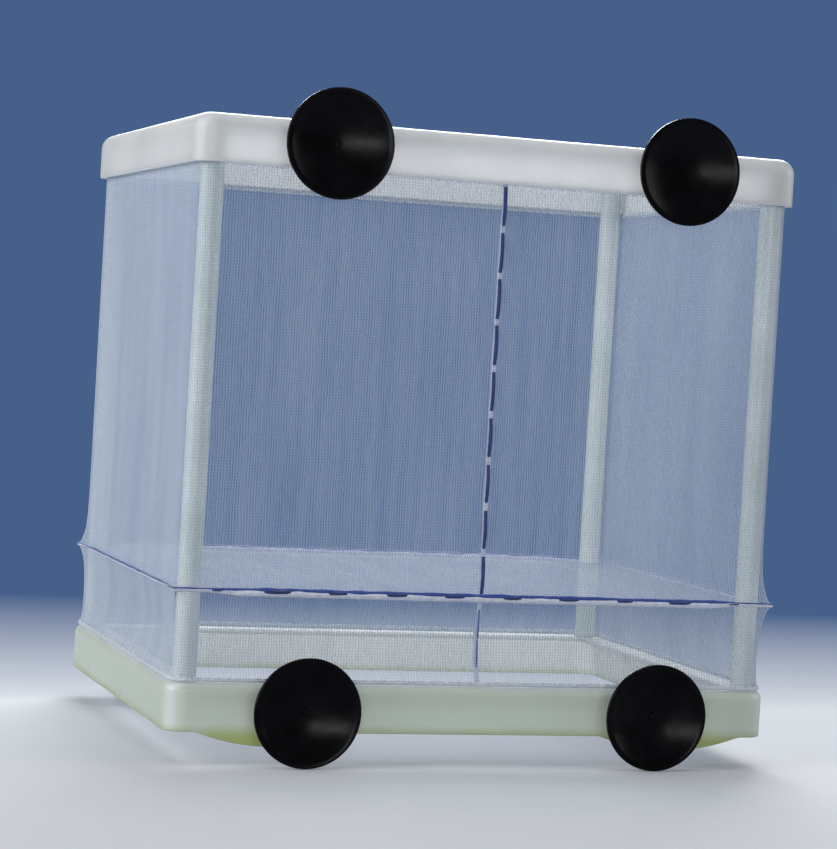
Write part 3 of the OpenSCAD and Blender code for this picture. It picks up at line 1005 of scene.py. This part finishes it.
ON_NET = NET_T / 2
ON_LIP = NET_T / 4 + LIP_D
THREAD_UP, KNOT_UP = 0.65 * MM, 0.2 * MM
DASH = 11.4 * MM
KNOTS = {"Pitch": 14.5 * MM, "Length": 5 * MM, "Radius": 0.36 * MM, "Rise": 0.5 * MM,
         "Slant": 0.02, "Unevenness": 0.35}
HEM_STITCHES = {"Pitch": 2.6 * MM, "Length": 1.9 * MM, "Radius": 0.13 * MM, "Rise": 0.15 * MM,
                "Slant": 0.0, "Unevenness": 0.1}
threads = [
    sewn("front_seam_stitches", STITCH_ROW,
         upright_seam(FLOOR_Z + DASH / 2, NET_HIGH.z - DASH / 2, ON_NET), False, NAVY_THREAD, 1,
         Pitch=DASH, Length=DASH - 1.5 * MM, Radius=0.5 * MM, Rise=0.4 * MM, Slant=0.0, Unevenness=0.03),
    sewn("front_seam_lower_stitches", STITCH_ROW,
         upright_seam(NET_LOW.z + DASH / 2, FLOOR_Z - DASH / 2, ON_NET), False, BLUE_THREAD, 2,
         Pitch=DASH, Length=DASH - 1 * MM, Radius=0.17 * MM, Rise=0.2 * MM, Slant=0.0, Unevenness=0.03),
    sewn("front_seam_overlock", STITCH_ROW,
         upright_seam(NET_LOW.z, NET_HIGH.z, -(ON_NET + FOLD_T)), False, BLUE_THREAD, 3,
         Pitch=1.7 * MM, Length=1.8 * MM, Radius=0.14 * MM, Rise=0.2 * MM, Slant=0.8, Unevenness=0.1),
    sewn("floor_seam_thread", RUNNING_THREAD,
         seam_round(FLOOR_Z + THREAD_UP, 0.75 * ON_LIP, 0.7), True, BLUE_THREAD, 4,
         Step=0.8 * MM, Radius=0.5 * MM, Wander=0.35 * MM, Grain=1 / (6 * MM)),
    sewn("floor_seam_front_knots", STITCH_ROW,
         seam_round(FLOOR_Z + KNOT_UP, ON_LIP, 1.0, stations=panel_stations(-1)), False, NAVY_THREAD, 5,
         **KNOTS),
    sewn("floor_seam_back_knots", STITCH_ROW,
         seam_round(FLOOR_Z + KNOT_UP, ON_LIP, 1.0, stations=panel_stations(1)), False, NAVY_THREAD, 8,
         **KNOTS),
    sewn("bottom_hem_stitches", STITCH_ROW,
         seam_round(NET_LOW.z + 0.1 * MM, ON_NET, 1.0, thinned=False), True, WHITE_THREAD, 6,
         **HEM_STITCHES),
    sewn("top_hem_stitches", STITCH_ROW,
         seam_round(NET_HIGH.z - 0.3 * MM, -ON_NET, 1.0, thinned=False), True, WHITE_THREAD, 7,
         **HEM_STITCHES),
]


# ---------------------------------------------------------------- suction cups
def axis_middle(p, q):
    """Place on the axis of the middle of the circle through two (radius, along) points."""
    return (p[0] ** 2 + p[1] ** 2 - q[0] ** 2 - q[1] ** 2) / (2 * (p[1] - q[1]))


def bow(p, q):
    """Arc from p to q round a middle on the axis."""
    along = axis_middle(p, q)
    radius = math.hypot(p[0], p[1] - along)
    angles = [math.degrees(math.acos(min(1.0, spot[0] / radius))) for spot in (p, q)]
    return arc((0, along), radius, *angles, 20)


def suction_cup(name):
    """Hollow dish with a flat lip and a gate mark, a neck, and a round head."""
    middle = CUP_MIDDLES[name]
    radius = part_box(name)[1].x - middle.x
    bevel = 0.2 * MM
    nub_r, nub_h = 0.9 * MM, 0.4 * MM
    hub_y, head_y = FRONT - FACE_GAP, FRONT + PAD_T + FACE_GAP
    profile = [(0, HOLLOW_D - nub_h), (nub_r, HOLLOW_D - nub_h)]
    profile += bow((nub_r + bevel, HOLLOW_D), (radius - LIP_W, 0))
    profile += [(radius - bevel, 0), (radius, bevel)]
    profile += bow((radius, LIP_T), (HUB_R, DOME_H))
    profile += [(HUB_R, hub_y - bevel), (HUB_R - bevel, hub_y), (NECK_R, hub_y), (NECK_R, head_y)]
    profile += [(HEAD_R - bevel, head_y), (HEAD_R, head_y + bevel)]
    for r, along in arc((0, 0), 1, 0, 90):
        profile.append((HEAD_R * r, head_y + HEAD_EDGE + (HEAD_LEN - HEAD_EDGE) * along))
    body = turned(name + "_moulding", profile, middle, "Y", 96)
    return dress(body, CUP_PVC, name + "_body", "cup_rubber", name)


for cup_name in CUP_NAMES:
    suction_cup(cup_name)


# ---------------------------------------------------------------- stage
BACKDROP = "#46608A"
STAGE_Z = min(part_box(name)[0].z for name in CUP_NAMES) - 0.1 * MM
STAGE_R = 3.0
# The paper turns into the backdrop over these depths behind the glass and over
# these distances from the middle of the cups
FADE_BEHIND = (0.11, 0.4)
FADE_AWAY = (0.16, 0.9)


def stage_material():
    """Pale paper under the box that keeps its shadow, and turns behind the box
    and further away into the even tone of the backdrop."""
    material, tree = new_material("backdrop_paper")
    place = add(tree, "ShaderNodeTexCoord").outputs["Object"]
    seen = add(tree, "ShaderNodeLightPath").outputs["Is Camera Ray"]
    pale = add(tree, "ShaderNodeMix", {
        0: blotches(tree, place, 60 * MM), 6: srgb("#E9ECF0"), 7: srgb("#EFF1F4")}, data_type="RGBA")
    tone = add(tree, "ShaderNodeMix", {0: seen, 6: srgb("#9FA5AC"), 7: pale}, data_type="RGBA")
    paper = add(tree, "ShaderNodeBsdfDiffuse", {"Color": tone})
    plain = add(tree, "ShaderNodeEmission", {"Color": srgb(BACKDROP)})
    depth = add(tree, "ShaderNodeSeparateXYZ", {0: place}).outputs["Y"]
    behind = add(tree, "ShaderNodeMapRange", {0: depth, 1: FADE_BEHIND[0], 2: FADE_BEHIND[1], 3: 0.0, 4: 1.0})
    behind = add(tree, "ShaderNodeMath", {0: behind, 1: 0.5}, operation="POWER")
    away = add(tree, "ShaderNodeVectorMath", {0: place}, operation="LENGTH")
    away = add(tree, "ShaderNodeMapRange", {0: away, 1: FADE_AWAY[0], 2: FADE_AWAY[1], 3: 0.1, 4: 1.0})
    fade = add(tree, "ShaderNodeMath", {0: behind, 1: away}, operation="MAXIMUM")
    share = add(tree, "ShaderNodeMath", {0: fade, 1: seen}, operation="MULTIPLY")
    mixed = add(tree, "ShaderNodeMixShader", {0: share, 1: paper, 2: plain})
    add(tree, "ShaderNodeOutputMaterial", {"Surface": mixed})
    return material


def stage_floor():
    mesh = bpy.data.meshes.new("stage_floor")
    rim_points = [(x, y, STAGE_Z) for x, y in arc((0, 0), STAGE_R, 0, 357, 119)]
    mesh.from_pydata(rim_points, [], [tuple(range(len(rim_points)))])
    mesh.materials.append(stage_material())
    link("stage_floor", mesh)


def daylight():
    """An even surround: dimmer as light on the box than as the backdrop seen."""
    world = bpy.data.worlds.new("surround")
    world.use_nodes = True
    bpy.context.scene.world = world
    tree = world.node_tree
    tree.nodes.clear()
    path = add(tree, "ShaderNodeLightPath").outputs
    direct = add(tree, "ShaderNodeMath", {0: path["Is Camera Ray"], 1: path["Is Transmission Ray"]},
                 operation="MAXIMUM")
    dim = add(tree, "ShaderNodeBackground", {"Color": srgb("#F2F5FA"), "Strength": 0.12})
    plain = add(tree, "ShaderNodeBackground", {"Color": srgb(BACKDROP), "Strength": 1.0})
    mixed = add(tree, "ShaderNodeMixShader", {0: direct, 1: dim, 2: plain})
    add(tree, "ShaderNodeOutputWorld", {"Surface": mixed})


def softbox(name, azimuth, elevation, distance, width, height, power):
    """A lamp that looks at the middle of the box; azimuth 0 is in front."""
    lamp = bpy.data.lights.new(name, "AREA")
    lamp.shape = "RECTANGLE"
    lamp.size, lamp.size_y = width, height
    lamp.energy = power
    obj = bpy.data.objects.new(name, lamp)
    bpy.context.collection.objects.link(obj)
    obj.location = BOX_MIDDLE + distance * direction(azimuth, elevation)
    obj.rotation_euler = (BOX_MIDDLE - obj.location).to_track_quat("-Z", "Y").to_euler()
    obj.visible_camera = False


def direction(azimuth, elevation):
    """Unit vector from the box; azimuth 0 is in front of it and 90 to its left."""
    a, e = math.radians(azimuth), math.radians(elevation)
    return Vector((-math.sin(a) * math.cos(e), -math.cos(a) * math.cos(e), math.sin(e)))


BOX_MIDDLE = Vector((0, MID_Y, 0))
# From a camera fitted to the corner points of the box; angles in degrees
VIEW_AZIMUTH, VIEW_ELEVATION = 18.3, 1.9
VIEW_DISTANCE = 0.75
VIEW_ROLL = math.radians(3.4)
VIEW_LENS = 113.5


def camera():
    """The photograph's viewing angle: from the left, just above the middle."""
    data = bpy.data.cameras.new("camera")
    data.lens = VIEW_LENS
    data.clip_start, data.clip_end = 0.05, 20
    obj = bpy.data.objects.new("camera", data)
    bpy.context.collection.objects.link(obj)
    obj.location = BOX_MIDDLE + VIEW_DISTANCE * direction(VIEW_AZIMUTH, VIEW_ELEVATION)
    aim = (BOX_MIDDLE - obj.location).to_track_quat("-Z", "Y")
    obj.rotation_euler = aim.to_euler()
    obj.rotation_euler.rotate_axis("Z", VIEW_ROLL)
    bpy.context.scene.camera = obj


stage_floor()
daylight()
softbox("key_left", azimuth=83, elevation=20, distance=1.3, width=1.0, height=1.0, power=11)
softbox("overhead", azimuth=0, elevation=88, distance=1.2, width=0.9, height=0.9, power=2.5)
softbox("back", azimuth=199, elevation=32, distance=1.3, width=0.9, height=0.6, power=17)
softbox("front_strip", azimuth=12, elevation=4, distance=1.6, width=1.2, height=0.2, power=7)
softbox("right_fill", azimuth=-80, elevation=20, distance=1.6, width=1.0, height=1.0, power=6)
camera()
bpy.context.scene.view_settings.view_transform = "Standard"
